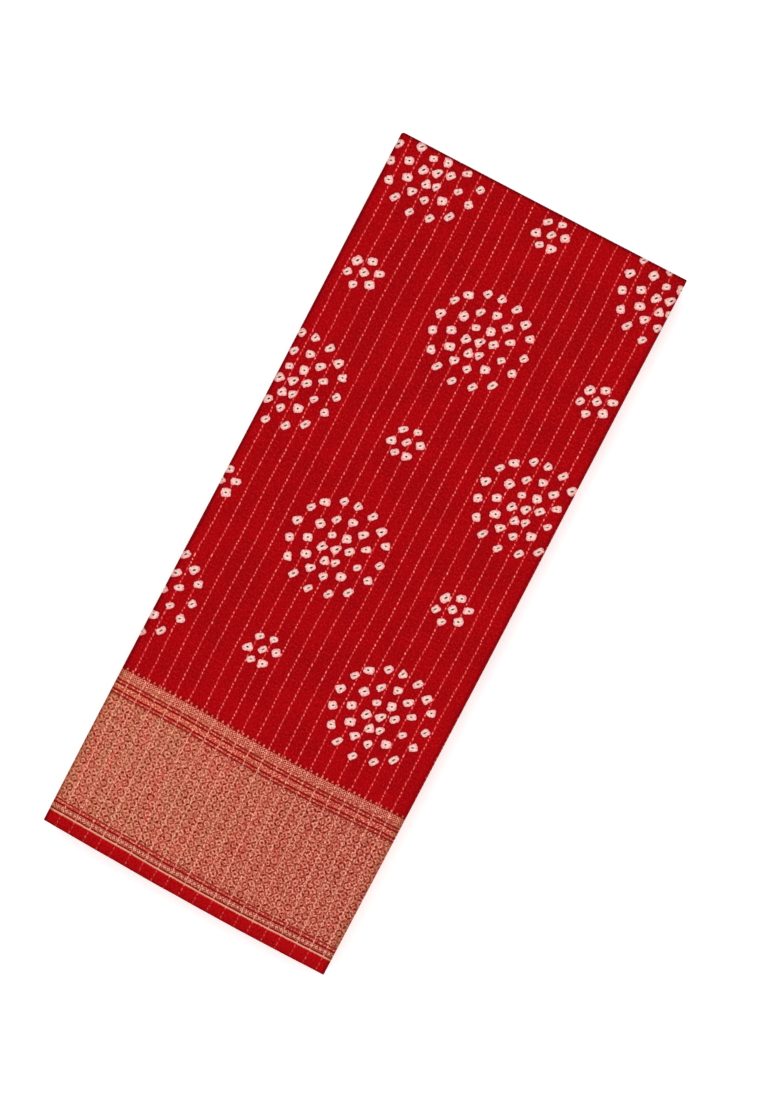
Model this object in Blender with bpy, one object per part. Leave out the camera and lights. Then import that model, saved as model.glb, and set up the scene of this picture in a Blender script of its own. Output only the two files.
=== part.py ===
# A printed saree as it lies folded on a shelf, in metres, with +Z up.
# The cloth is halved along its length, so the long fold is at the +Y end and the two woven
# edges lie together at the -Y end. It is then folded back and forth across X in panels,
# with both free ends tucked inside. One layer of the solid is the doubled cloth.
import math

import bmesh
import bpy

# Sizes of the folded packet
PANEL_WIDTH = 0.2358          # across X, from fold to fold, of the top panel
SIDE_LENGTH = 0.5692          # along Y at the -X side, from the long fold to the woven edges
PANEL_COUNT = 24              # they hold about 5.6 m of cloth
LAYER_THICKNESS = 0.0010      # the doubled cloth, with the air between its two plies
LAYER_GAP = 0.0003            # between one layer and the next
LAYER_PITCH = LAYER_THICKNESS + LAYER_GAP

# Outline of the panels, as seen from above
EDGE_BOW = 0.0059             # how far the woven edges run out towards -Y across the packet
EDGE_BOW_SHARE = 0.9          # share of the width over which they do
SIDE_DRAW = 0.0006            # how far the +X folds are drawn in at the -Y end
TOTAL_LENGTH = SIDE_LENGTH + EDGE_BOW

# How uneven the folds lie below the top panel
FOLD_SCATTER = 0.0016         # the most that a fold stands back from the top panel's fold
FOLD_WAVE = 0.0005            # how far a fold line wanders along Y
END_SCATTER = 0.0018          # the most that a panel's end stands back in Y
TUCK_BACK = 0.0070            # how far a free end stops short of the fold around it
SWELL = 0.035                 # how much the stack's height varies, as a share of the height

# How finely the section and the length are divided
PANEL_POINTS = 6              # points on a panel between its two folds
TURN_STEPS = 4                # steps in the half circle of a fold
STATIONS = 6                  # sections along Y

# The dyed ground, as red, green, blue and alpha in linear light
CLOTH_COLOUR = (0.407, 0.004, 0.007, 1.0)


def uneven(index, column):
    """Return an uneven share from 0 to 1 that belongs to one fold or panel."""
    wave = math.sin(12.9898 * index + 78.233 * column) * 437.585
    return wave - math.floor(wave)


def panel_levels():
    """Return each panel's level in the stack, in the order in which the cloth runs."""
    levels = list(range(PANEL_COUNT))
    levels[0], levels[1] = levels[1], levels[0]
    levels[-1], levels[-2] = levels[-2], levels[-1]
    return levels


def stand_back(level, column, most):
    """Return how far a fold or end stands back from the top panel's."""
    if level >= PANEL_COUNT - 1:
        return 0.0
    return most * uneven(level, column)


def fold_reach(level, side, share):
    """Return the X of a fold's outer face, on side -1 or +1, at a share of the length."""
    reach = PANEL_WIDTH / 2 - stand_back(level, 1 + side, FOLD_SCATTER)
    if side > 0:
        reach -= SIDE_DRAW * (1.0 - share) ** 2
    if level < PANEL_COUNT - 1:
        turn = 2 * math.pi * (share * 1.3 + uneven(level, 5 + side))
        reach -= FOLD_WAVE * (1.0 + math.sin(turn))
    return side * reach


def edge_run_out(across):
    """Return how far the woven edges run out, at a share of the width from the -X side."""
    along_bow = min(max(across / EDGE_BOW_SHARE, 0.0), 1.0)
    return EDGE_BOW * math.sin(along_bow * math.pi / 2)


def swell(x, y):
    """Return the factor on the height: fuller by the folds, with one low wave along Y."""
    beside = (2 * x / PANEL_WIDTH) ** 4
    wave = math.sin(2 * math.pi * (1.4 * y / TOTAL_LENGTH + 0.8 * x / PANEL_WIDTH))
    return 1.0 + SWELL * (0.55 * beside + 0.35 * wave - 0.2)


def cloth_path(share):
    """Return the middle line of the layers at one share of the length.

    Each point is x, z, the two parts of its normal, and the panel level that its ends
    follow, which passes from one panel's to the next one's around a fold.
    """
    levels = panel_levels()
    points = []
    for order, level in enumerate(levels):
        heading = 1 if order % 2 == 0 else -1
        z = LAYER_THICKNESS / 2 + level * LAYER_PITCH
        after = levels[order + 1] if order + 1 < PANEL_COUNT else None
        before = levels[order - 1] if order > 0 else None

        # A panel runs from the centre of the fold behind it to that of the fold ahead.
        start = panel_end(level, before, -heading, share)
        finish = panel_end(level, after, heading, share)
        for step in range(PANEL_POINTS + 2):
            part = step / (PANEL_POINTS + 1)
            points.append((start + (finish - start) * part, z, 0.0, heading, level))

        if after is not None:
            points.extend(fold_points(finish, level, after, heading))
    return points


def panel_end(level, neighbour, side, share):
    """Return the X where a panel ends: at a fold's centre, or short of one if it is free."""
    if neighbour is None:
        outer = fold_reach(PANEL_COUNT, side, share)
        return outer - side * (TUCK_BACK + 2 * LAYER_PITCH)
    radius = abs(neighbour - level) * LAYER_PITCH / 2
    outer = fold_reach(max(level, neighbour), side, share)
    return outer - side * (radius + LAYER_THICKNESS / 2)


def fold_points(centre_x, level, after, heading):
    """Return the points inside a fold's half circle, from one panel to the next."""
    rise = (after - level) * LAYER_PITCH
    radius = abs(rise) / 2
    centre_z = LAYER_THICKNESS / 2 + level * LAYER_PITCH + rise / 2
    up = 1 if rise > 0 else -1
    points = []
    for step in range(1, TURN_STEPS):
        part = step / TURN_STEPS
        angle = math.pi * part
        out_x = heading * math.sin(angle)
        out_z = -up * math.cos(angle)
        normal_x = -heading * up * out_x
        normal_z = -heading * up * out_z
        follow = level + (after - level) * part
        points.append((centre_x + radius * out_x, centre_z + radius * out_z,
                       normal_x, normal_z, follow))
    return points


def end_insets(follow):
    """Return how far the -Y end and the +Y end stand back at a level between two panels."""
    low = math.floor(follow)
    part = follow - low
    insets = []
    for column in (7, 8):
        here = stand_back(low, column, END_SCATTER)
        above = stand_back(low + 1, column, END_SCATTER)
        insets.append(here + (above - here) * part)
    return insets


def build_saree():
    """Make the folded cloth: a skin on each face of the layers, closed along its rims."""
    mesh = bmesh.new()
    upper = []
    lower = []
    for station in range(STATIONS):
        share = station / (STATIONS - 1)
        upper_row = []
        lower_row = []
        for x, z, normal_x, normal_z, follow in cloth_path(share):
            inset_low, inset_high = end_insets(follow)
            across = x / PANEL_WIDTH + 0.5
            y_low = -TOTAL_LENGTH / 2 + EDGE_BOW - edge_run_out(across) + inset_low
            y_high = TOTAL_LENGTH / 2 - inset_high
            y = y_low + (y_high - y_low) * share
            for row, side in ((upper_row, 0.5), (lower_row, -0.5)):
                skin_x = x + normal_x * side * LAYER_THICKNESS
                skin_z = z + normal_z * side * LAYER_THICKNESS
                row.append(mesh.verts.new((skin_x, y, skin_z * swell(skin_x, y))))
        upper.append(upper_row)
        lower.append(lower_row)

    for rows in (upper, lower):
        for near, far in zip(rows, rows[1:]):
            close_strip(mesh, near, far)
    for end in (0, -1):
        close_strip(mesh, upper[end], lower[end])
        close_strip(mesh, [row[end] for row in upper], [row[end] for row in lower])

    bmesh.ops.recalc_face_normals(mesh, faces=mesh.faces)
    data = bpy.data.meshes.new("saree")
    mesh.to_mesh(data)
    mesh.free()
    saree = bpy.data.objects.new("saree", data)
    saree.data.materials.append(cloth_material())
    bpy.context.scene.collection.objects.link(saree)
    return saree


def close_strip(mesh, near, far):
    """Join two rows of vertices with a strip of faces."""
    for index in range(len(near) - 1):
        mesh.faces.new((near[index], near[index + 1], far[index + 1], far[index]))


def cloth_material():
    """Return the red of the dyed cloth."""
    material = bpy.data.materials.new("saree_cloth")
    material.use_nodes = True
    shader = material.node_tree.nodes["Principled BSDF"]
    shader.inputs["Base Color"].default_value = CLOTH_COLOUR
    shader.inputs["Roughness"].default_value = 0.75
    shader.inputs["Metallic"].default_value = 0.0
    return material


for old in list(bpy.data.objects):
    bpy.data.objects.remove(old, do_unlink=True)

build_saree()
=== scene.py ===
import math
from functools import partialmethod

import bpy
from mathutils import Matrix, Vector


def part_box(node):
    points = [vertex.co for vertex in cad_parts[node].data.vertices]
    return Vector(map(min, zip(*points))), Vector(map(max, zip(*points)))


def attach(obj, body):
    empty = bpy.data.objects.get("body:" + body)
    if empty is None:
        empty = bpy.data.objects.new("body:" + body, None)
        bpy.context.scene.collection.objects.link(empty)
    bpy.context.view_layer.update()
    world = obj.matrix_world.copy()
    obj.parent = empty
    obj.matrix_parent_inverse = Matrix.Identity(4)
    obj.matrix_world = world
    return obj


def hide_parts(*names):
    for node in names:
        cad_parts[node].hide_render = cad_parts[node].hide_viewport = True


# A printed saree, folded into a flat packet and seen from straight above
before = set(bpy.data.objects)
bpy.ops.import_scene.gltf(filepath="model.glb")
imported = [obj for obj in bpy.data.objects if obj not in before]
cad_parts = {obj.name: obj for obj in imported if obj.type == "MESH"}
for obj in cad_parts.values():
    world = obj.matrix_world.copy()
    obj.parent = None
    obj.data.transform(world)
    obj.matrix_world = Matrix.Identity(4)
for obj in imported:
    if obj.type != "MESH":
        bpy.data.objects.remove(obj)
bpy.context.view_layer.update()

# The folded cloth, in metres. +X is across the packet, +Y runs to the long fold.
packet = {
    "panelWidth": 0.2358,        # fold to fold across the top panel
    "sideLength": 0.5692,        # long fold to woven edges, at the -X side
    "clothWidth": 1.145,         # one woven edge to the other, laid flat
    "panels": 24,
    "layer": 0.0010,             # the doubled cloth
    "gap": 0.0003,               # between one layer and the next
    "edgeBow": 0.0059,           # the woven edges run out by this much
    "edgeBowShare": 0.9,         # over this share of the width
    "sideDraw": 0.0006,          # +X folds drawn in at the -Y end
    "foldScatter": 0.0016,       # folds below the top panel stand back by up to this
    "foldWave": 0.0005,          # and wander along Y by this
    "waveTurns": 8.2,            # radians of that wandering from end to end
    "waveRight": 2.4,            # and from one +X fold to the next
    "waveLeft": 3.1,             # and from one -X fold to the next
    "endScatter": 0.0018,        # ends of the panels below stand back by up to this
    "lowEnd": 7,                 # column of the uneven shares for the -Y ends
    "highEnd": 8,                # and for the +Y ends
    "tuckBack": 0.007,           # a free end stops this short of the fold around it
    "swell": 0.035,              # how much the height varies, as a share
    "swellBeside": 0.55,         # of which beside the folds
    "swellWave": 0.35,           # and in one slanting wave
    "swellSink": 0.2,            # less this everywhere
    "wavesAlong": 1.4,
    "wavesAcross": 0.8,
    "ply": 0.00028,              # thickness of the cloth itself
    "plySpread": 0.00062,        # middle of one ply to the middle of the other
    "edgeRipple": 0.0005,        # fine ripple of the woven edges
    "rippleSize": 0.022,
    "softness": 0.00045,         # low hollows and rises in the top panel
    "softSize": 0.075,
    "panelPoints": 18,
    "topPanelPoints": 46,
    "turnSteps": 8,
    "stations": 26,              # along Y on each ply
    "hairpinSteps": 6,           # around the long fold
}


# Sums in a node tree: a wire is one number there, and ordinary sums add Math nodes
class Wire:
    def __init__(self, tree, socket):
        self.tree = tree
        self.socket = socket

    def take(self, operation, *others):
        return sums(self.tree, operation, self, *others)

    def takeFrom(self, operation, other):
        return sums(self.tree, operation, other, self)

    __add__ = partialmethod(take, "ADD")
    __sub__ = partialmethod(take, "SUBTRACT")
    __mul__ = partialmethod(take, "MULTIPLY")
    __truediv__ = partialmethod(take, "DIVIDE")
    __pow__ = partialmethod(take, "POWER")
    __gt__ = partialmethod(take, "GREATER_THAN")
    __lt__ = partialmethod(take, "LESS_THAN")
    __abs__ = partialmethod(take, "ABSOLUTE")
    __radd__ = partialmethod(takeFrom, "ADD")
    __rsub__ = partialmethod(takeFrom, "SUBTRACT")
    __rmul__ = partialmethod(takeFrom, "MULTIPLY")
    __rtruediv__ = partialmethod(takeFrom, "DIVIDE")

    # 0 below low, 1 above high, smooth in between; or the other way round if low is higher
    def ease(self, low, high):
        node = self.tree.nodes.new("ShaderNodeMapRange")
        node.interpolation_type = "SMOOTHSTEP"
        for name, value in (("Value", self), ("From Min", low), ("From Max", high)):
            plug(self.tree, node.inputs[name], value)
        return Wire(self.tree, node.outputs[0])

    # A value from lowest up, by this wire's share of a spread
    def over(self, lowest, spread):
        return lowest + self * spread


def plug(tree, socket, value):
    if isinstance(value, Wire):
        tree.links.new(value.socket, socket)
    elif isinstance(value, bpy.types.NodeSocket):
        tree.links.new(value, socket)
    else:
        socket.default_value = value


def setAll(node, values):
    for name, value in values.items():
        node.inputs[name].default_value = value


def sums(tree, operation, *values):
    node = tree.nodes.new("ShaderNodeMath")
    node.operation = operation
    for socket, value in zip(node.inputs, values):
        plug(tree, socket, value)
    return Wire(tree, node.outputs[0])


def vector(tree, x, y, z=0.0):
    node = tree.nodes.new("ShaderNodeCombineXYZ")
    for socket, value in zip(node.inputs, (x, y, z)):
        plug(tree, socket, value)
    return node.outputs[0]


def parts(tree, socket):
    node = tree.nodes.new("ShaderNodeSeparateXYZ")
    tree.links.new(socket, node.inputs[0])
    return [Wire(tree, out) for out in node.outputs]


# Three fixed random shares for a whole-numbered place
def chance(tree, x, y, z=0.0):
    node = tree.nodes.new("ShaderNodeTexWhiteNoise")
    tree.links.new(vector(tree, x, y, z), node.inputs["Vector"])
    return parts(tree, node.outputs["Color"])


# Soft noise from 0 to 1, with features of about the given size
def cloudy(tree, place, size, detail=2.0):
    node = tree.nodes.new("ShaderNodeTexNoise")
    tree.links.new(place, node.inputs["Vector"])
    node.inputs["Scale"].default_value = 1.0 / size
    node.inputs["Detail"].default_value = detail
    return Wire(tree, node.outputs[0])


# The same noise from -0.5 to 0.5
def drift(tree, place, size, detail=1.0):
    return cloudy(tree, place, size, detail) - 0.5


# A number stored on the cloth by its fold tree, in millimetres
def stored(tree, name):
    node = tree.nodes.new("ShaderNodeAttribute")
    node.attribute_name = name
    return Wire(tree, node.outputs["Fac"]) * 1000.0


# A photo colour, as red, green and blue from 0 to 255, in linear light
def dye(shade):
    steps = [value / 255 for value in shade]
    light = [v / 12.92 if v <= 0.04045 else ((v + 0.055) / 1.055) ** 2.4 for v in steps]
    return (*light, 1.0)


def tint(tree, share, under, over):
    node = tree.nodes.new("ShaderNodeMix")
    node.data_type = "RGBA"
    plug(tree, node.inputs[0], share)
    plug(tree, node.inputs[6], dye(under) if isinstance(under, tuple) else under)
    plug(tree, node.inputs[7], dye(over) if isinstance(over, tuple) else over)
    return node.outputs[2]


# A mask eased over its range, at its strength
def eased(wire, shape):
    return wire.ease(*shape["range"]) * shape["strength"]


# Colours laid one over the other
def layered(tree, colour, layers, masks, dyes):
    for name, span, share, over in layers:
        mask = masks[name].ease(*span) if span else masks[name]
        colour = tint(tree, mask * share, colour, dyes[over])
    return colour


# A node group with number inputs and number outputs
def newGroup(name, inputs, outputs):
    tree = bpy.data.node_groups.new(name, "ShaderNodeTree")
    for side, labels in (("INPUT", inputs), ("OUTPUT", outputs)):
        for label in labels:
            tree.interface.new_socket(label, in_out=side, socket_type="NodeSocketFloat")
    entry = tree.nodes.new("NodeGroupInput")
    return tree, [Wire(tree, socket) for socket in entry.outputs[:len(inputs)]]


def endGroup(tree, *wires):
    leave = tree.nodes.new("NodeGroupOutput")
    for socket, wire in zip(leave.inputs, wires):
        tree.links.new(wire.socket, socket)
    return tree


def useGroup(tree, group, *values):
    node = tree.nodes.new("ShaderNodeGroup")
    node.node_tree = group
    for socket, value in zip(node.inputs, values):
        plug(tree, socket, value)
    return [Wire(tree, out) for out in node.outputs]


# How the cloth is folded: the same rule as the solid's, with each layer opened into two plies
layerPitch = packet["layer"] + packet["gap"]
totalLength = packet["sideLength"] + packet["edgeBow"]
topLevel = packet["panels"] - 1
hashIndex, hashColumn, hashScale = 12.9898, 78.233, 437.585    # as in the solid


def uneven(index, column):
    wave = math.sin(hashIndex * index + hashColumn * column) * hashScale
    return wave - math.floor(wave)


def panelLevels():
    levels = list(range(packet["panels"]))
    levels[0], levels[1] = levels[1], levels[0]
    levels[-1], levels[-2] = levels[-2], levels[-1]
    return levels


def foldReach(level, side):
    reach = packet["panelWidth"] / 2
    if level < topLevel:
        reach -= packet["foldScatter"] * uneven(level, 1 + side) + packet["foldWave"]
    return side * reach


def panelEnd(level, neighbour, side):
    if neighbour is None:
        return side * (packet["panelWidth"] / 2 - packet["tuckBack"] - 2 * layerPitch)
    radius = abs(neighbour - level) * layerPitch / 2
    return foldReach(max(level, neighbour), side) - side * (radius + packet["layer"] / 2)


# The middle line of the layers in X and Z, each point's distance along it from the nearest
# fold, where along it the top panel begins, and its length
def foldLine():
    levels = panelLevels()
    points = []
    folds = []
    topFold = 0
    for order, level in enumerate(levels):
        heading = 1 if order % 2 == 0 else -1
        z = packet["layer"] / 2 + level * layerPitch
        before = levels[order - 1] if order else None
        after = levels[order + 1] if order + 1 < len(levels) else None
        start = panelEnd(level, before, -heading)
        finish = panelEnd(level, after, heading)
        isTop = level == topLevel
        if isTop:
            topFold = len(points) - packet["turnSteps"] // 2
        steps = packet["topPanelPoints"] if isTop else packet["panelPoints"]
        for step in range(steps + 1):
            points.append(Vector((start + (finish - start) * step / steps, 0, z)))
        if after is None:
            continue
        rise = (after - level) * layerPitch
        folds.append(len(points) + packet["turnSteps"] // 2 - 1)
        for step in range(1, packet["turnSteps"]):
            angle = math.pi * step / packet["turnSteps"]
            points.append(Vector((
                finish + heading * abs(rise) / 2 * math.sin(angle), 0,
                z + rise / 2 - rise / 2 * math.cos(angle))))
    lengths = [0.0]
    for here, there in zip(points, points[1:]):
        lengths.append(lengths[-1] + (there - here).length)
    fromFold = [min(abs(here - lengths[fold]) for fold in folds) for here in lengths]
    return points, fromFold, lengths[topFold], lengths[-1]


# A Geometry Nodes input with its value, set by the socket's identifier
def setInput(modifier, name, value):
    for item in modifier.node_group.interface.items_tree:
        if item.name == name and item.in_out == "INPUT":
            modifier[item.identifier] = value


# The uneven shares of the solid's panels, between whole levels too
def unevenWire(level, column):
    low = level.take("FLOOR")
    here = ((low * hashIndex + hashColumn * column).take("SINE") * hashScale).take("FRACT")
    above = (((low + 1.0) * hashIndex + hashColumn * column).take("SINE")
             * hashScale).take("FRACT")
    here = here * (low < topLevel - 0.5)
    above = above * (low < topLevel - 1.5)
    return here + (above - here) * (level - low)


# Sweeps a hairpin, the cloth from one woven edge over the long fold and back to the other,
# along the fold line
def foldTree(named):
    tree = bpy.data.node_groups.new("foldCloth", "GeometryNodeTree")
    tree.interface.new_socket("Fold line", in_out="INPUT", socket_type="NodeSocketGeometry")
    for name in named:
        tree.interface.new_socket(name, in_out="INPUT", socket_type="NodeSocketFloat")
    tree.interface.new_socket("Cloth", in_out="OUTPUT", socket_type="NodeSocketGeometry")
    entry = tree.nodes.new("NodeGroupInput")
    size = {name: Wire(tree, entry.outputs[name]) for name in named}

    def add(kind):
        return tree.nodes.new("GeometryNode" + kind)

    # The path along the cloth's length, with its place, direction and length kept
    path = add("MeshToCurve")
    tree.links.new(entry.outputs["Fold line"], path.inputs[0])
    keepPath = add("CaptureAttribute")
    for kind, name in (("VECTOR", "place"), ("VECTOR", "way"), ("FLOAT", "length")):
        keepPath.capture_items.new(kind, name)
    tree.links.new(path.outputs[0], keepPath.inputs[0])
    tree.links.new(add("InputPosition").outputs[0], keepPath.inputs["place"])
    tree.links.new(add("InputTangent").outputs[0], keepPath.inputs["way"])
    tree.links.new(add("SplineParameter").outputs["Length"], keepPath.inputs["length"])

    # The stations across the cloth's width
    stations, turns = packet["stations"], packet["hairpinSteps"]
    line = add("CurvePrimitiveLine")
    spaced = add("ResampleCurve")
    spaced.mode = "COUNT"
    spaced.inputs["Count"].default_value = 2 * stations + turns + 1
    keepStation = add("CaptureAttribute")
    keepStation.capture_items.new("FLOAT", "station")
    tree.links.new(line.outputs[0], spaced.inputs[0])
    tree.links.new(spaced.outputs[0], keepStation.inputs[0])
    tree.links.new(add("InputIndex").outputs[0], keepStation.inputs["station"])

    swept = add("CurveToMesh")
    tree.links.new(keepPath.outputs[0], swept.inputs["Curve"])
    tree.links.new(keepStation.outputs[0], swept.inputs["Profile Curve"])

    # Along is 0 at a woven edge and 1 at the long fold, turn is 0 on one ply and 1 on the other
    station = Wire(tree, keepStation.outputs["station"])
    along = station.take("MINIMUM", 2 * stations + turns - station) / stations
    along = along.take("MINIMUM", 1.0)
    turn = ((station - stations) / turns).take("MAXIMUM", 0.0).take("MINIMUM", 1.0)
    x, _, z = parts(tree, keepPath.outputs["place"])
    wayX, _, wayZ = parts(tree, keepPath.outputs["way"])
    level = (z - packet["layer"] / 2) / size["Layer pitch"]
    across = x / size["Panel width"] + 0.5

    # Folds wander along Y, less and less towards the top panel
    below = ((topLevel - level) / 2.0).take("MINIMUM", 1.0)
    pairRight = (level / 2.0).take("FLOOR") * packet["waveRight"]
    pairLeft = ((level + 1.0) / 2.0).take("FLOOR") * packet["waveLeft"]
    turned = along * packet["waveTurns"]
    waveRight = (turned + pairRight).take("SINE") * size["Fold wave"] * across
    waveLeft = (turned + pairLeft).take("SINE") * size["Fold wave"] * (1.0 - across)
    drawn = size["Side draw"] * (1.0 - along) * (1.0 - along) * across
    shiftX = (waveLeft - waveRight) * below - drawn

    # The woven edges bow out, and each panel's ends stand back by their own amount
    bowPart = (across / packet["edgeBowShare"]).take("MINIMUM", 1.0).take("MAXIMUM", 0.0)
    bow = size["Edge bow"] * (bowPart * (math.pi / 2)).take("SINE")
    low = size["End scatter"] * unevenWire(level, packet["lowEnd"]) - bow
    low = low - (size["Total length"] / 2.0 - size["Edge bow"])
    radius = size["Ply spread"] / 2.0
    high = size["Total length"] / 2.0 - size["End scatter"] * unevenWire(level, packet["highEnd"])
    high = high - radius - packet["ply"] / 2
    ripple = cloudy(tree, vector(tree, x, level, turn * 3.0), packet["rippleSize"], 1.0)
    low = low + size["Edge ripple"] * ripple
    length = high - low
    y = low + length * along + radius * (turn * math.pi).take("SINE")
    offset = radius * (turn * math.pi).take("COSINE")
    skinX = x + shiftX - wayZ * offset
    skinZ = z + wayX * offset

    # The stack swells beside the folds, and lies in low soft waves
    beside = (skinX * 2.0 / size["Panel width"]) ** 4.0
    wave = ((y * packet["wavesAlong"] / size["Total length"]
             + skinX * packet["wavesAcross"] / size["Panel width"]) * (2 * math.pi)).take("SINE")
    height = 1.0 + size["Swell"] * (beside * packet["swellBeside"]
                                    + wave * packet["swellWave"] - packet["swellSink"])
    soft = drift(tree, vector(tree, skinX, y, 0.0), packet["softSize"], 1.5)
    height = height + soft * size["Softness"] * 2.0 / (topLevel * layerPitch)
    placed = add("SetPosition")
    tree.links.new(swept.outputs[0], placed.inputs["Geometry"])
    tree.links.new(vector(tree, skinX, y, skinZ * height), placed.inputs["Position"])

    # The place on the flat cloth: along it from the top panel's first fold, and across it
    bend = radius * math.pi
    t = (length - bend / 2.0) * along + bend * turn * along
    t = t + size["Cloth width"] * (1.0 - along) * turn
    u = Wire(tree, keepPath.outputs["length"]) - size["Pattern start"]
    mapped = add("StoreNamedAttribute")
    mapped.data_type = "FLOAT2"
    mapped.domain = "CORNER"
    mapped.inputs["Name"].default_value = "cloth"
    tree.links.new(placed.outputs[0], mapped.inputs["Geometry"])
    tree.links.new(vector(tree, u, t), mapped.inputs["Value"])
    nearLong = add("StoreNamedAttribute")
    nearLong.data_type = "FLOAT"
    nearLong.inputs["Name"].default_value = "fromLongFold"
    plug(tree, nearLong.inputs["Value"], (1.0 - along) * length + abs(turn - 0.5) * bend)
    smooth = add("SetShadeSmooth")
    real = add("RealizeInstances")
    paint = add("SetMaterial")
    paint.inputs["Material"].default_value = bpy.data.materials["sareeCloth"]
    leave = tree.nodes.new("NodeGroupOutput")
    chain = (mapped, nearLong, smooth, real, paint, leave)
    for first, second in zip(chain, chain[1:]):
        tree.links.new(first.outputs[0], second.inputs[0])
    return tree


def makeSaree():
    points, fromFold, patternStart, pathLength = foldLine()
    line = bpy.data.meshes.new("foldLine")
    line.from_pydata(points, [(i, i + 1) for i in range(len(points) - 1)], [])
    line.attributes.new("fromFold", "FLOAT", "POINT").data.foreach_set("value", fromFold)
    carrier = bpy.data.objects.new("foldLine", line)
    bpy.context.scene.collection.objects.link(carrier)
    values = {
        "Total length": totalLength, "Panel width": packet["panelWidth"],
        "Edge bow": packet["edgeBow"], "Ply spread": packet["plySpread"],
        "Layer pitch": layerPitch, "Pattern start": patternStart,
        "Cloth width": packet["clothWidth"],
        "Fold wave": packet["foldWave"], "End scatter": packet["endScatter"],
        "Side draw": packet["sideDraw"], "Swell": packet["swell"],
        "Softness": packet["softness"], "Edge ripple": packet["edgeRipple"],
    }
    folding = carrier.modifiers.new("fold", "NODES")
    folding.node_group = foldTree(values)
    for name, value in values.items():
        setInput(folding, name, value)

    ready = carrier.evaluated_get(bpy.context.evaluated_depsgraph_get())
    mesh = bpy.data.meshes.new_from_object(ready)
    bpy.data.objects.remove(carrier, do_unlink=True)
    saree = bpy.data.objects.new("sareeCloth", mesh)
    bpy.context.scene.collection.objects.link(saree)
    body = saree.modifiers.new("thickness", "SOLIDIFY")
    body.thickness = packet["ply"]
    body.offset = 0.0
    print("saree:", len(mesh.polygons), "faces,", round(pathLength, 3), "m of cloth in the folds")

    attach(saree, "root")
    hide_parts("saree")
    return saree


# From here on all lengths are millimetres on the flat cloth: u along it, from the fold at the
# top panel's -X side, and t across it, from a woven edge
clothWidth = packet["clothWidth"] * 1000.0
panelTurn = math.pi / (packet["panelWidth"] * 1000.0)    # radians for each millimetre of u

# The tied-dot print. A range gives where a mask begins and where it is full, and a pair of
# lowest and spread gives a share that chance picks.
dots = {
    "firstRow": 188.0,           # middle of the row next to the border
    "rowPitch": 92.1,
    "rows": 9,
    "columnPitch": 97.5,
    "firstColumn": 83.7,         # a small medallion's middle in the first row
    "rowDrift": 11.7,            # each row stands this much further along
    "largeShift": 1.7,           # large medallions stand this much further along
    "largeDrop": 1.2,            # and nearer the border
    "skew": 0.045,               # medallions lean along the diagonal
    "spread": 3.4,               # columns stand this much wider towards the top right
    "misprint": 0.6,             # of a whole medallion
    "misprintSeed": 3.0,
    "scatter": 1.8,              # of the dots in a medallion
    "swungAt": 0.41,             # radians, where the outer ring's dots are swung round most
    "evenKind": 784.0,           # picks the shapes of the small medallions in even rows
    "oddKind": 4604.0,           # and in odd rows
    "secondDraw": 100.0,
    "oddTurn": 0.175,            # the second kind is turned by this
    "pastRings": 7.0,            # a large medallion ends this far outside its last ring
    "halfLength": 3.5,
    "lengths": (0.84, 0.28),
    "halfWidth": 2.82,
    "widths": (0.80, 0.42),
    "corner": 3.2,               # 2 is an oval, higher is nearer a square
    "lean": 0.70,                # radians that a dot leans from across the packet
    "leanSpread": 0.8,
    "taper": 0.24,
    "ragSize": 2.6,              # of the uneven outline
    "rag": 0.48,
    "edge": (1.08, 0.95),
    "halo": (1.40, 1.06),
    "rim": (0.45, 0.95),
    "blotchSize": 1.3,
    "blotch": 1.6,
    "cream": (253, 213, 200),
    "blush": (246, 146, 150),
}

# The mark that the tying thread left: a short dark slit with a dull ring round it
knots = {
    "shiftAlong": 1.1,
    "shiftAcross": 0.7,
    "bend": 0.5,
    "halfLengths": (0.62, 0.62),
    "halfWidths": (0.42, 0.2),
    "rag": 0.6,
    "edge": (1.45, 0.8),
    "strengths": (0.75, 0.6),
    "dull": (2.7, 1.2),
    "dullShare": 0.5,
    "dark": (34, 24, 22),
    "ring": (196, 190, 168),
}

# The rings of a medallion, from its single middle dot to its last ring
rings = {
    "from": (0.0, 5.5, 16.5, 28.5),            # distance from the middle where each one begins
    "radius": (0.0, 10.9, 22.1, 35.0),
    "dots": (1, 6, 11, 16),
    "number": (0.0, 20.0, 40.0, 60.0),         # that the first dot goes by
    "start": (0.0, 0.227, 0.352, -0.049),      # angle of the first dot
    "swing": (0.0, 0.0, 0.0, 0.117),           # how far the dots are swung round
    "stray": (0.0, 0.4, 0.2, 0.12),            # how far they stray round the ring
    "seed": (2248, 775, 2767, 1361),
}


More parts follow.
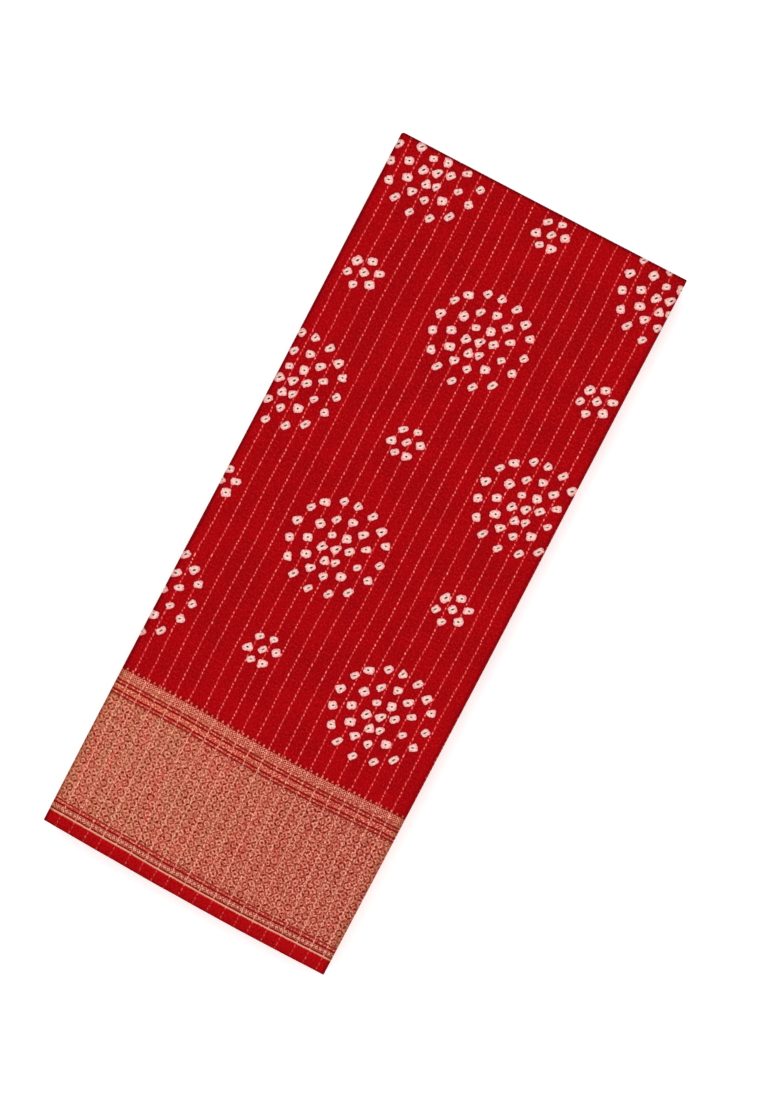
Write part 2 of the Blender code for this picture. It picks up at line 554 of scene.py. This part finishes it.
# Medallions of tied dots in a drifting checkerboard, one with three rings, the next with one
def dotGroup():
    tree, (u, t) = newGroup("tiedDots", ("Along", "Across"),
                            ("Dot", "Rim", "Knot", "Dull", "Halo"))
    row = ((t - dots["firstRow"]) / dots["rowPitch"]).take("ROUND")
    spread = (0.5 - (u * panelTurn).take("COSINE") * 0.5) ** 2.0 * dots["spread"]
    sideways = u - spread - dots["firstColumn"] - row * dots["rowDrift"]
    column = (sideways / dots["columnPitch"]).take("ROUND")
    isLarge = ((row + column) * 0.5).take("FRACT") > 0.25
    isPrinted = (row > -0.5) * (row < dots["rows"] - 0.5)
    offX, offY, _ = chance(tree, row, column, dots["misprintSeed"])
    px = sideways - column * dots["columnPitch"] - isLarge * dots["largeShift"]
    px = px + (offX - 0.5) * dots["misprint"]
    py = t - dots["firstRow"] - row * dots["rowPitch"] + isLarge * dots["largeDrop"]
    py = py + (offY - 0.5) * dots["misprint"]
    x = px - py * dots["skew"]
    y = py - px * dots["skew"]

    # Which ring a point belongs to, and which dot of that ring. Every medallion of one kind
    # has the same uneven dots, as it's printed.
    reach = (x * x + y * y).take("SQRT")

    def ofRing(name):
        values = rings[name]
        value = values[0]
        for begins, inner, outer in zip(rings["from"][1:], values, values[1:]):
            value = (reach > begins) * (outer - inner) + value
        return value

    isOdd = ((row * 0.5).take("FRACT") > 0.25) * (1.0 - isLarge)
    kind = (1.0 - isLarge) * dots["evenKind"] + isOdd * (dots["oddKind"] - dots["evenKind"])
    count = ofRing("dots")
    ringRadius = ofRing("radius")
    step = 2 * math.pi / count
    start = ofRing("start") + isOdd * dots["oddTurn"]
    swing = ofRing("swing")
    angle = y.take("ARCTAN2", x) - start
    swungBy = swing * (angle - dots["swungAt"]).take("COSINE")
    turn = ((angle - swungBy) / step).take("ROUND")
    mine = turn.take("FLOORED_MODULO", count) + ofRing("number")
    a, b, c = chance(tree, mine, kind, ofRing("seed"))
    d, e, f = chance(tree, mine + dots["secondDraw"], kind, ofRing("seed"))
    middle = turn * step
    middle = middle + start + swing * (middle - dots["swungAt"]).take("COSINE")
    middle = middle + (a - 0.5) * ofRing("stray")
    dx = x - middle.take("COSINE") * ringRadius - (b - 0.5) * dots["scatter"]
    dy = y - middle.take("SINE") * ringRadius - (c - 0.5) * dots["scatter"]

    # A leaning square with soft corners and an uneven edge, pink at its rim
    place = vector(tree, u, t)
    lean = dots["lean"] + (d - 0.5) * dots["leanSpread"]
    across = dx * lean.take("COSINE") + dy * lean.take("SINE")
    along = dy * lean.take("COSINE") - dx * lean.take("SINE")
    half = dots["halfLength"] * e.over(*dots["lengths"])
    wide = dots["halfWidth"] * f.over(*dots["widths"])
    taper = 1.0 + across * (a - 0.5) * dots["taper"]
    shape = ((abs(across) / half) ** dots["corner"]
             + (abs(along) / (wide * taper)) ** dots["corner"]) ** (1.0 / dots["corner"])
    shape = shape + drift(tree, place, dots["ragSize"], 2.0) * dots["rag"]
    small, large = rings["from"][2], rings["radius"][3] + dots["pastRings"]
    printedTo = small + isLarge * (large - small)
    shown = isPrinted * (reach < printedTo)
    dot = shape.ease(*dots["edge"]) * shown
    halo = shape.ease(*dots["halo"]) * shown
    blotch = drift(tree, place, dots["blotchSize"])
    rim = (shape + blotch * dots["blotch"]).ease(*dots["rim"])

    knotX = across - (b - 0.5) * knots["shiftAlong"]
    knotY = along - (a - 0.5) * knots["shiftAcross"] + (across * (c - 0.5)) * knots["bend"]
    mark = ((knotX / d.over(*knots["halfLengths"])) ** 2.0
            + (knotY / e.over(*knots["halfWidths"])) ** 2.0)
    mark = mark.take("SQRT") + blotch * knots["rag"]
    knot = mark.ease(*knots["edge"]) * f.over(*knots["strengths"]).take("MINIMUM", 1.0)
    dull = mark.ease(*knots["dull"])
    return endGroup(tree, dot, rim, knot, dull, halo)


# Woven light threads that run from edge to edge
stripes = {
    "first": 8.0,
    "pitch": 11.5,
    "halfWidth": 0.58,
    "edge": (1.2, 0.5),          # in half widths
    "wobble": 5.2,               # sideways, in long soft waves
    "wobbleSize": 120.0,
    "wobbleShare": 0.1,          # neighbours wobble nearly alike
    "offset": 1.4,               # of a thread from its even place
    "seed": 7.0,
    "tremble": 1.1,
    "trembleSize": 5.0,
    "drift": 2.6,                # sideways by the time they reach the woven edge
    "driftFrom": 130.0,
    "floatPitch": 3.3,           # from one bead of thread on the face to the next
    "floatSpread": 1.8,
    "floatSize": 9.0,
    "floatStep": 17.0,           # sets one thread's beads and trembling apart from the next's
    "trembleStep": 40.0,
    "beadLean": 0.55,
    "beadPush": 0.35,
    "beadSteepness": (2.2, 1.8),
    "beadWidth": 1.25,           # in half widths
    "beadEdge": (1.25, 0.5),
    "strengths": (0.4, 0.8),
    "onGround": (0.25, 0.8),     # share of the thread between its beads, and more in them
    "onBorder": (0.1, 0.75),
    "onStrip": (0.5, 0.5),       # share of that in the plain strip, and more past it
    "stripFade": 2.0,
    "paleBeads": (0.6, 1.0),
    "paleShare": 0.8,
    "thread": (255, 106, 104),
    "pale": (255, 152, 146),
    "between": (222, 50, 50),
    "inBorder": (252, 176, 150),
}


# Light threads from edge to edge that show on the face as a row of small beads
def stripeGroup():
    tree, (u, t, edge) = newGroup("wovenStripes", ("Along", "Across", "From edge"),
                                  ("Thread", "Bead", "Pale"))
    waves = vector(tree, u * stripes["wobbleShare"], t)
    sway = drift(tree, waves, stripes["wobbleSize"]) * stripes["wobble"]
    run = u + sway - stripes["first"] - edge.ease(stripes["driftFrom"], 0.0) * stripes["drift"]
    number = (run / stripes["pitch"]).take("ROUND")
    a, b, _ = chance(tree, number, stripes["seed"])
    local = run - number * stripes["pitch"] + (a - 0.5) * stripes["offset"]
    beat = (t + b * stripes["floatPitch"]) / stripes["floatPitch"]
    ownBeat = drift(tree, vector(tree, number * stripes["floatStep"], t), stripes["floatSize"])
    beat = beat + ownBeat * stripes["floatSpread"]
    part = beat.take("FRACT") - 0.5
    size, push, pale = chance(tree, number, beat.take("FLOOR"))
    own = vector(tree, number * stripes["trembleStep"], t)
    tremble = drift(tree, own, stripes["trembleSize"])
    local = (local + tremble * stripes["tremble"] + part * stripes["beadLean"]
             + (push - 0.5) * stripes["beadPush"])
    outer, inner = stripes["edge"]
    thread = abs(local).ease(stripes["halfWidth"] * outer, stripes["halfWidth"] * inner)
    bead = ((part * size.over(*stripes["beadSteepness"])) ** 2.0
            + (local / (stripes["halfWidth"] * stripes["beadWidth"])) ** 2.0).take("SQRT")
    bead = bead.ease(*stripes["beadEdge"]) * size.over(*stripes["strengths"])
    return endGroup(tree, thread, bead, pale)


# The woven border, from the woven edge
border = {
    "inner": 10.5,               # plain strip ends, first light line begins
    "innerSoft": 0.25,
    "thinLine": 11.4,
    "lowBand": 15.1,             # middle of the narrow gold band with beads
    "fieldFrom": 21.2,
    "fieldTo": 108.2,
    "fieldSoft": (0.2, 0.4),     # outward and inward
    "highBand": (122.0, 122.6),  # the wide gold band begins
    "outer": 127.4,
    "outerSoft": 0.3,
    "slant": 1.9,                # its lines run off the woven edge's line by this
    "slantNear": 0.6,            # share of that next to the woven edge
    "wave": 0.82,                # and in one low wave by this, less near the woven edge
    "waveNear": 0.4,
    "waveLength": 176.0,
    "waveFrom": 11.0,
    "lineRough": 0.35,
    "lineEdge": (1.3, 0.5),      # in half widths
    "wander": 0.5,
    "wanderSize": 9.0,
    "grainSize": 0.8,            # of the threads that make every edge rough
    "pushSize": 3.2,             # of the stretches in which rings are pushed aside
    "pushAlong": 0.9,
    "pushAcross": 0.7,
    "ringSeed": 4.0,
    "markSeed": 6.0,
    "tickSeed": 5.0,
    "ringAcross": 7.45,
    "ringAlong": 7.05,
    "ringStart": 102.5,
    "ringPhase": 178.9,
    "ringRadius": 1.65,
    "smallRing": 1.2,
    "markAt": 2.05,              # a ring's dark marks, from its middle both ways
    "markStray": 0.5,
    "markHalfDeep": 0.68,
    "markHalfWide": 1.2,
    "fleckSize": 1.7,            # of other dark spots
    "fleckSqueeze": 1.3,
    "fleckRange": (0.58, 0.74),
    "fleckShare": 0.7,
    "bandEdge": (1.9, 1.5),      # from the middle of the narrow gold band
    "thinRough": 0.3,
    "beadPitch": 3.6,
    "beadRough": 1.1,
    "beadRing": 2.1,
    "speckPitch": 1.95,          # fine rows in the gold bands
    "speckPush": 6.0,
    "speckRough": 1.2,
    "goldRed": 0.65,             # how far the gold bands go to the redder dye
    "tickAt": 128.6,
    "tickPitch": 4.4,
    "tickHalf": 0.75,
    "tickReach": 1.0,
    "tickShift": 0.8,
    "tickDrop": 0.4,
    "tickEdge": (1.3, 0.5),
    "tickStrengths": (0.4, 0.7),
    "dimReach": (2.6, 0.6),      # the ground is darker behind the ticks
    "dim": 0.5,
    "moreGold": 0.1,             # the field is more golden at every other fold
    "redDrops": (0.44, 0.62),
    "sheenFrom": (9.0, 3.0),      # painted sheen: olive within this of a fold
    "sheenDrops": (0.4, 0.7),
    "salmon": (207, 86, 65),
    "rose": (216, 68, 58),
    "deepRose": (204, 26, 26),   # uneven red between the dark lines
    "dusk": (158, 56, 50),       # over the field, most at the other folds
    "oldGold": (184, 118, 78),
    # painted sheen of the gold thread in a bend
    "olive": (158, 130, 74),
    "highlight": (255, 176, 150),
    "shade": (134, 24, 2),
    "lineRed": (130, 5, 5),
    "markBrown": (108, 8, 0),
    "tick": (246, 122, 106),
}

# The worn marks and rings of its field: the grain's share in their edges, the range of these,
# and how strong each one is, as lowest and spread
wornShapes = {
    "corner": {"rough": 0.8, "range": (1.65, 0.7), "strengths": (0.5, 0.5)},
    "middle": {"rough": 0.6, "range": (1.1, 0.35), "strengths": (0.35, 0.55)},
    "between": {"rough": 0.8, "range": (1.0, 0.25), "strengths": (0.15, 0.45)},
    "ring": {"rough": 0.7, "range": (0.85, 0.15), "strengths": (0.3, 0.5)},
    "smallRing": {"rough": 0.7, "range": (0.6, 0.1), "strengths": (0.2, 0.6)},
}

# The lights and marks of its gold bands
goldShapes = {
    "thinLine": {"range": (0.65, 0.3), "strength": 1.5},
    "bead": {"range": (1.6, 0.9), "strength": 1.5},
    "beadRing": {"range": (0.6, 0.1), "strength": 0.5},
    "speck": {"range": (0.0, 0.6), "strength": 0.85},
    "glint": {"range": (-0.1, -0.7), "strength": 1.15},
}

# Dark lines across the border: middle, half width and strength
borderLines = (
    (12.6, 0.7, 0.95),
    (17.7, 0.8, 1.0),
    (20.5, 0.7, 0.85),
    (108.9, 0.75, 0.95),
    (111.6, 0.8, 1.0),
    (116.8, 0.8, 1.0),
    (119.4, 0.75, 0.95),
    (122.0, 0.35, 0.5),
)

# Redder bands between the dark lines: middle, range from there and strength
redBands = (
    (118.1, (1.6, 1.0), 1.0),
    (110.2, (1.6, 1.0), 1.0),
    (114.2, (2.6, 1.8), 0.4),
    (19.1, (1.6, 1.0), 1.0),
)


# The border's dark lines, its field of small rings, the rows of its gold bands and its ticks
def borderGroup():
    tree, (u, edge) = newGroup("wovenBorder", ("Along", "From edge"), (
        "Inside", "Lines", "Marks", "Light", "Red bands", "Tick", "Dim"))
    place = vector(tree, u, edge)
    slant = (0.5 + (u * panelTurn).take("COSINE") * 0.5) * border["slant"]
    near = border["slantNear"]
    wave = ((u - border["waveFrom"]) * (2 * math.pi / border["waveLength"])).take("SINE")
    level = edge + slant * (near + edge * ((1.0 - near) / border["outer"]))
    wave = wave * (border["waveNear"] + edge * ((1.0 - border["waveNear"]) / border["outer"]))
    level = level - wave * border["wave"]
    deep = level + drift(tree, place, border["wanderSize"]) * border["wander"]
    grain = drift(tree, place, border["grainSize"], 2.0)
    inner, outer = border["inner"], border["outer"]
    innerSoft, outerSoft = border["innerSoft"], border["outerSoft"]
    inside = (deep.ease(inner - innerSoft, inner + innerSoft)
              * (deep + grain).ease(outer + outerSoft, outer - outerSoft))
    lines = None
    starts, isFull = border["lineEdge"]
    for middle, half, strength in borderLines:
        mark = abs(deep - middle) + grain * border["lineRough"]
        mark = mark.ease(half * starts, half * isFull) * strength
        lines = mark if lines is None else lines.take("MAXIMUM", mark)

    # Rings stand in columns and rows, each with a dark mark at its four corners and in its
    # middle, and small faint rings between them, all of them more or less worn
    out, into = border["fieldSoft"]
    inField = (deep.ease(border["fieldFrom"] - out, border["fieldFrom"] + into)
               * deep.ease(border["fieldTo"] + out, border["fieldTo"] - into))
    pushed = drift(tree, place, border["pushSize"])
    cellX = (u - border["ringPhase"] + pushed * border["pushAlong"]) / border["ringAlong"]
    cellY = (level - border["ringStart"] - pushed * border["pushAcross"]) / border["ringAcross"]
    column, line = cellX.take("ROUND"), cellY.take("ROUND")
    x = (cellX - column) * border["ringAlong"]
    y = (cellY - line) * border["ringAcross"]
    a, b, c = chance(tree, column, line, border["ringSeed"])
    quarter = (column * 2.0 + (x > 0.0), line * 2.0 + (y > 0.0))
    wear, offX, offY = chance(tree, *quarter, border["markSeed"])
    outX = abs(x) - border["markAt"] + (offX - 0.5) * border["markStray"]
    outY = abs(y) - border["markAt"] + (offY - 0.5) * border["markStray"]
    outward, beside = (outX + outY) * math.sqrt(0.5), (outX - outY) * math.sqrt(0.5)
    mark = ((outward / border["markHalfDeep"]) ** 2.0
            + (beside / border["markHalfWide"]) ** 2.0).take("SQRT")
    reach = (x * x + y * y).take("SQRT")
    cornerX = border["ringAlong"] / 2 - abs(x)
    cornerY = border["ringAcross"] / 2 - abs(y)
    between = (cornerX * cornerX + cornerY * cornerY).take("SQRT")

    def worn(name, distance, share):
        shape = wornShapes[name]
        rough = distance + grain * shape["rough"]
        return rough.ease(*shape["range"]) * share.over(*shape["strengths"])

    fleck = cloudy(tree, vector(tree, u * border["fleckSqueeze"], edge), border["fleckSize"], 1.0)
    fleck = fleck.ease(*border["fleckRange"]) * border["fleckShare"]
    marks = worn("corner", mark, wear).take("MAXIMUM", worn("middle", reach, a))
    marks = marks.take("MAXIMUM", worn("between", between, c)).take("MAXIMUM", fleck) * inField
    ring = worn("ring", abs(reach - border["ringRadius"]), b)
    small = worn("smallRing", abs(between - border["smallRing"]), c)
    light = ring.take("MAXIMUM", small) * inField

    # Two gold bands with fine rows lie outside the field, the inner one with a row of beads
    fromBand = abs(deep - border["lowBand"])
    bandLow = fromBand.ease(*border["bandEdge"])
    thin = abs(deep - border["thinLine"]) + grain * border["thinRough"]
    gold = deep.ease(*border["highBand"]) + bandLow
    beadX = (u / border["beadPitch"]).take("FRACT") - 0.5
    bead = abs(beadX) * border["beadPitch"] + fromBand + grain * border["beadRough"]
    light = light.take("MAXIMUM", eased(thin, goldShapes["thinLine"]))
    light = light.take("MAXIMUM", eased(bead, goldShapes["bead"]) * bandLow)
    roundBead = eased(abs(bead - border["beadRing"]), goldShapes["beadRing"])
    marks = marks.take("MAXIMUM", roundBead * bandLow)
    perMm = 2 * math.pi / border["speckPitch"]
    rows = (deep * perMm).take("SINE")
    specks = rows * (u * perMm + pushed * border["speckPush"]).take("SINE")
    specks = specks + grain * border["speckRough"]
    marks = marks.take("MAXIMUM", eased(specks, goldShapes["speck"]) * gold)
    light = light.take("MAXIMUM", eased(specks, goldShapes["glint"]) * gold)

    redder = gold * border["goldRed"]
    for middle, span, strength in redBands:
        redder = redder + abs(deep - middle).ease(*span) * strength

    # Thread ends show just outside the border as a row of ticks
    number = (u / border["tickPitch"]).take("ROUND")
    strong, shiftX, shiftY = chance(tree, number, border["tickSeed"])
    tickX = u - number * border["tickPitch"] + (shiftX - 0.5) * border["tickShift"]
    tickY = level - border["tickAt"] - shiftY * border["tickDrop"]
    tick = (tickX / border["tickHalf"]) ** 2.0 + (tickY / border["tickReach"]) ** 2.0
    tick = tick.take("SQRT").ease(*border["tickEdge"]) * strong.over(*border["tickStrengths"])
    dim = abs(level - border["tickAt"]).ease(*border["dimReach"]) * border["dim"]
    return endGroup(tree, inside, lines, marks, light, redder, tick, dim)


# The dyed ground, and the shade painted beside its folds and along its woven edges
ground = {
    "deepRed": (165, 1, 7),
    "brightRed": (176, 1, 8),
    "stripRed": (191, 5, 12),    # the plain strip outside the border
    "speck": (120, 0, 5),
    "glint": (212, 24, 30),
    "halo": (104, 2, 8),         # dye that ran together round a tied dot
    "paintedFoldShade": (92, 0, 8),        # painted shade beside a fold and along a woven edge
    "threadPitch": 0.42,
    "slubStretch": 0.12,         # along a thread
    "slubSqueeze": 1.8,          # from one thread to the next
    "lag": 1.6,                  # stripes and print stand in from a fold by this
    "besideFold": (3.9, 1.2),    # painted shade, darker from here inward
    "inFold": (-0.4, 1.2),       # and lighter again in the bend itself
    "foldDark": 0.62,
    "foldDarkUneven": 0.12,      # more than that at every other fold, less at the rest
    "besideLong": (3.4, 0.7),
    "inLong": (-0.3, 0.6),
    "longDark": 0.76,
    "wovenEdge": (2.2, 1.2),
    "edgeDark": 0.25,
    "borderSpared": 0.4,         # share of that painted shade that border and dots are spared
    "dotsSpared": 0.6,
}

# Uneven dye and thread as soft noise: how it's squeezed along and across the cloth, its shift,
# its size and its detail
clouds = {
    "patch": (1.0, 1.0, 0.0, 30.0, 1.0),
    "fine": (1.0, 0.8, 0.0, 1.3, 2.0),
    "patches": (1.6, 0.35, 0.0, 14.0, 2.0),
    "drops": (1.5, 1.0, 0.0, 3.0, 2.0),
    "sparkle": (1.0, 1.0, 400.0, 1.25, 2.0),
}

# Layers of colour: each one's mask, the range that it's eased over if any, its share and its
# dye. The dyed ground is nearly even, with fine dark and bright specks of the weave.
groundLayers = (
    ("patch", (0.35, 0.65), 1.0, "brightRed"),
    ("edge", (11.5, 9.5), 1.0, "stripRed"),
    ("slub", (0.62, 0.3), 0.35, "speck"),
    ("fine", (0.50, 0.70), 0.75, "speck"),
    ("fine", (0.48, 0.28), 0.5, "glint"),
    ("halo", None, 0.9, "halo"),
    ("dim", None, 1.0, "speck"),
)

# The border's patches of salmon, rose and old gold, its glints and its dark marks
brocadeLayers = (
    ("patches", (0.42, 0.70), 0.55, "oldGold"),
    ("patches", (0.46, 0.28), 0.35, "rose"),
    ("drops", (0.54, 0.74), 0.5, "oldGold"),
    ("drops", (0.46, 0.28), 0.5, "rose"),
    ("redder", None, 0.85, "rose"),
    ("redSpots", None, 0.75, "deepRose"),
    ("otherSide", None, 0.22, "dusk"),
    ("sparkle", (0.50, 0.30), 0.85, "shade"),
    ("light", None, 0.55, "highlight"),
    ("sparkle", (0.51, 0.66), 0.9, "highlight"),
    ("foldSheenGold", None, 0.5, "olive"),          # painted sheen: gold thread looks olive in a bend
    ("marks", None, 1.0, "markBrown"),
    ("lines", None, 1.0, "lineRed"),
)

# How the cloth takes the light, and the height of its threads
finish = {
    "roughness": 0.82,
    "borderSmoother": 0.28,
    "beadSmoother": 0.2,
    "slubRougher": 0.1,
    "borderMetal": 0.18,
    "specular": 0.05,
    "sheen": 0.03,
    "sheenRoughness": 0.5,
    "sheenTint": (220, 20, 30),
    "relief": 0.6,
    "reliefHeight": 0.0002,      # metres
    "weaveHeight": 0.35,
    "slubHeight": 0.5,
    "beadHeight": 0.8,
    "borderHeight": 0.6,
    "lineDepth": 0.5,
}


# Over and under of the plain weave as a height, and its uneven threads as a share
def weaveGroup():
    tree, (u, t) = newGroup("plainWeave", ("Along", "Across"), ("Height", "Slub"))
    turnsPerMm = math.pi / ground["threadPitch"]
    warp = (u * turnsPerMm).take("SINE")
    weft = (t * turnsPerMm).take("SINE")
    height = warp * weft * 0.5 + 0.5
    stretch, squeeze = ground["slubStretch"], ground["slubSqueeze"]
    alongThreads = cloudy(tree, vector(tree, u * stretch, t * squeeze), 1.0)
    acrossThreads = cloudy(tree, vector(tree, u * squeeze, t * stretch), 1.0)
    return endGroup(tree, height, (alongThreads + acrossThreads) / 2.0)


def makeClothMaterial():
    material = bpy.data.materials.new("sareeCloth")
    material.use_nodes = True
    tree = material.node_tree
    shader = tree.nodes["Principled BSDF"]
    spot = tree.nodes.new("ShaderNodeUVMap")
    spot.uv_map = "cloth"
    u, t, _ = parts(tree, spot.outputs[0])
    u = u * 1000.0
    t = t * 1000.0
    edge = t.take("MINIMUM", clothWidth - t)
    swung = (u * panelTurn).take("COSINE")    # 1 at one fold, -1 at the next
    drawn = u - swung * ground["lag"] * edge.ease(0.0, stripes["driftFrom"])

    dot, rim, knot, dull, halo = useGroup(tree, dotGroup(), drawn, t)
    thread, bead, pale = useGroup(tree, stripeGroup(), drawn, t, edge)
    inside, lines, marks, light, redder, tick, dim = useGroup(tree, borderGroup(), u, edge)
    height, slub = useGroup(tree, weaveGroup(), u, t)

    fromFold = stored(tree, "fromFold")
    masks = {
        "edge": edge, "slub": slub, "halo": halo, "dim": dim, "light": light, "marks": marks,
        "lines": lines, "redder": redder, "otherSide": 1.0 - swung,
    }
    for name, (along, across, shift, size, detail) in clouds.items():
        place = vector(tree, u * along, t * across + shift)
        masks[name] = cloudy(tree, place, size, detail)
    masks["patches"] = masks["patches"] + swung * border["moreGold"]
    masks["redSpots"] = redder * masks["drops"].ease(*border["redDrops"])
    # painted sheen of the gold thread near a fold
    masks["foldSheenGold"] = (fromFold.ease(*border["sheenFrom"])
                         * masks["drops"].ease(*border["sheenDrops"]))

    # Stripe threads on the ground, fainter in the plain strip, then the dots printed over them
    colour = layered(tree, ground["deepRed"], groundLayers, masks, ground)
    line = tint(tree, bead, stripes["between"], stripes["thread"])
    paleShare = bead * pale.ease(*stripes["paleBeads"]) * stripes["paleShare"]
    line = tint(tree, paleShare, line, stripes["pale"])
    strip = edge.ease(border["inner"] - stripes["stripFade"], border["inner"])
    strip = strip.over(*stripes["onStrip"])
    colour = tint(tree, thread * bead.over(*stripes["onGround"]) * strip, colour, line)
    colour = tint(tree, tick, colour, border["tick"])
    dotColour = tint(tree, rim, dots["cream"], dots["blush"])
    dotColour = tint(tree, dull * knots["dullShare"], dotColour, knots["ring"])
    dotColour = tint(tree, knot, dotColour, knots["dark"])
    colour = tint(tree, dot, colour, dotColour)

    brocade = layered(tree, border["salmon"], brocadeLayers, masks, border)
    brocade = tint(tree, thread * bead.over(*stripes["onBorder"]), brocade, stripes["inBorder"])
    colour = tint(tree, inside, colour, brocade)

    # Painted shade: darker beside the folds, less so in the bend itself, and a little along the
    # woven edges
    fromLong = stored(tree, "fromLongFold")
    foldShadeShare = (fromFold.ease(*ground["besideFold"]) * fromFold.ease(*ground["inFold"])
            * swung.over(ground["foldDark"], ground["foldDarkUneven"]))
    longFoldShadeShare = fromLong.ease(*ground["besideLong"]) * fromLong.ease(*ground["inLong"])
    foldShadeShare = foldShadeShare.take("MAXIMUM", longFoldShadeShare * ground["longDark"])
    foldShadeShare = foldShadeShare.take("MAXIMUM", edge.ease(*ground["wovenEdge"]) * ground["edgeDark"])
    foldShadeShare = foldShadeShare * (1.0 - inside * ground["borderSpared"]) * (1.0 - dot * ground["dotsSpared"])
    colour = tint(tree, foldShadeShare, colour, ground["paintedFoldShade"])
    tree.links.new(colour, shader.inputs["Base Color"])

    dark = lines.take("MAXIMUM", marks)
    plug(tree, shader.inputs["Metallic"], inside * (1.0 - dark) * finish["borderMetal"])
    rough = (finish["roughness"] - inside * finish["borderSmoother"]
             - thread * bead * finish["beadSmoother"] + slub * finish["slubRougher"])
    plug(tree, shader.inputs["Roughness"], rough)
    setAll(shader, {
        "Specular IOR Level": finish["specular"], "Sheen Weight": finish["sheen"],
        "Sheen Roughness": finish["sheenRoughness"], "Sheen Tint": dye(finish["sheenTint"]),
    })

    relief = tree.nodes.new("ShaderNodeBump")
    setAll(relief, {"Strength": finish["relief"], "Distance": finish["reliefHeight"]})
    raised = (thread * bead * finish["beadHeight"] + inside * finish["borderHeight"]
              - lines * inside * finish["lineDepth"])
    woven = height * finish["weaveHeight"] + slub * finish["slubHeight"]
    plug(tree, relief.inputs["Height"], woven + raised)
    tree.links.new(relief.outputs[0], shader.inputs["Normal"])
    return material


# The room: a pale floor, soft light from above and a camera that looks straight down
view = {
    "metresPerPixel": 0.0007328,
    "imageHeight": 1108,
    "lean": math.radians(27.57),     # the packet leans to the right
    "packetLeft": 26.67,             # pixels from the image's middle to the packet's middle
    "packetUp": 0.22,
    "lens": 85.0,
    "sensor": 36.0,
    "roomLight": 0.75,
    "backdrop": 1.0,                 # how bright the room itself looks
    "floorSide": 12.0,
    "floorGlow": 0.34,
    "floorRoughness": 0.9,
    "floorSpecular": 0.1,
    "floorMottle": 0.5,
    "floorDull": (251, 251, 250),
    "floorBright": (254, 254, 253),
}

# Both face the packet's middle
lights = (
    {"name": "overhead", "place": (-0.8, 0.9, 2.6), "side": 1.8, "power": 22.0},
    {"name": "side", "place": (1.6, -1.0, 1.6), "side": 1.4, "power": 7.0},
)


def makeFloor():
    mesh = bpy.data.meshes.new("floor")
    side = view["floorSide"] / 2
    mesh.from_pydata([(-side, -side, 0), (side, -side, 0), (side, side, 0), (-side, side, 0)],
                     [], [(0, 1, 2, 3)])
    floor = bpy.data.objects.new("floor", mesh)
    bpy.context.scene.collection.objects.link(floor)
    material = bpy.data.materials.new("paleFloor")
    material.use_nodes = True
    tree = material.node_tree
    shader = tree.nodes["Principled BSDF"]
    spot = tree.nodes.new("ShaderNodeTexCoord")
    mottle = cloudy(tree, spot.outputs["Object"], view["floorMottle"])
    tree.links.new(tint(tree, mottle, view["floorDull"], view["floorBright"]),
                   shader.inputs["Base Color"])
    setAll(shader, {
        "Roughness": view["floorRoughness"], "Specular IOR Level": view["floorSpecular"],
        "Emission Color": (1.0, 1.0, 1.0, 1.0), "Emission Strength": view["floorGlow"],
    })
    mesh.materials.append(material)


def makeLights():
    for light in lights:
        data = bpy.data.lights.new(light["name"], "AREA")
        data.size = light["side"]
        data.energy = light["power"]
        lamp = bpy.data.objects.new(light["name"], data)
        lamp.location = light["place"]
        lamp.rotation_euler = (-Vector(light["place"])).to_track_quat("-Z", "Y").to_euler()
        bpy.context.scene.collection.objects.link(lamp)


def makeRoom():
    scene = bpy.context.scene
    scene.view_settings.view_transform = "Standard"
    makeFloor()
    makeLights()
    world = bpy.data.worlds.new("softRoom")
    scene.world = world
    world.use_nodes = True
    tree = world.node_tree
    background = tree.nodes["Background"]
    background.inputs["Color"].default_value = (1.0, 1.0, 1.0, 1.0)
    seen = Wire(tree, tree.nodes.new("ShaderNodeLightPath").outputs["Is Camera Ray"])
    plug(tree, background.inputs["Strength"],
         seen * (view["backdrop"] - view["roomLight"]) + view["roomLight"])


def makeCamera():
    data = bpy.data.cameras.new("camera")
    data.lens = view["lens"]
    data.sensor_width = view["sensor"]
    camera = bpy.data.objects.new("camera", data)
    bpy.context.scene.collection.objects.link(camera)
    right = Vector((math.cos(view["lean"]), math.sin(view["lean"]), 0))
    up = Vector((-math.sin(view["lean"]), math.cos(view["lean"]), 0))
    back = Vector((0, 0, 1))
    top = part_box("saree")[1][2]
    frameHeight = view["metresPerPixel"] * view["imageHeight"]
    distance = frameHeight * view["lens"] / view["sensor"]
    centre = (right * view["packetLeft"] - up * view["packetUp"]) * view["metresPerPixel"]
    turned = Matrix((right, up, back)).transposed()
    camera.matrix_world = (Matrix.Translation(centre + back * (top + distance))
                           @ turned.to_4x4())
    bpy.context.scene.camera = camera


makeRoom()
makeCamera()
print("room and camera made")
makeClothMaterial()
print("cloth material made")
makeSaree()
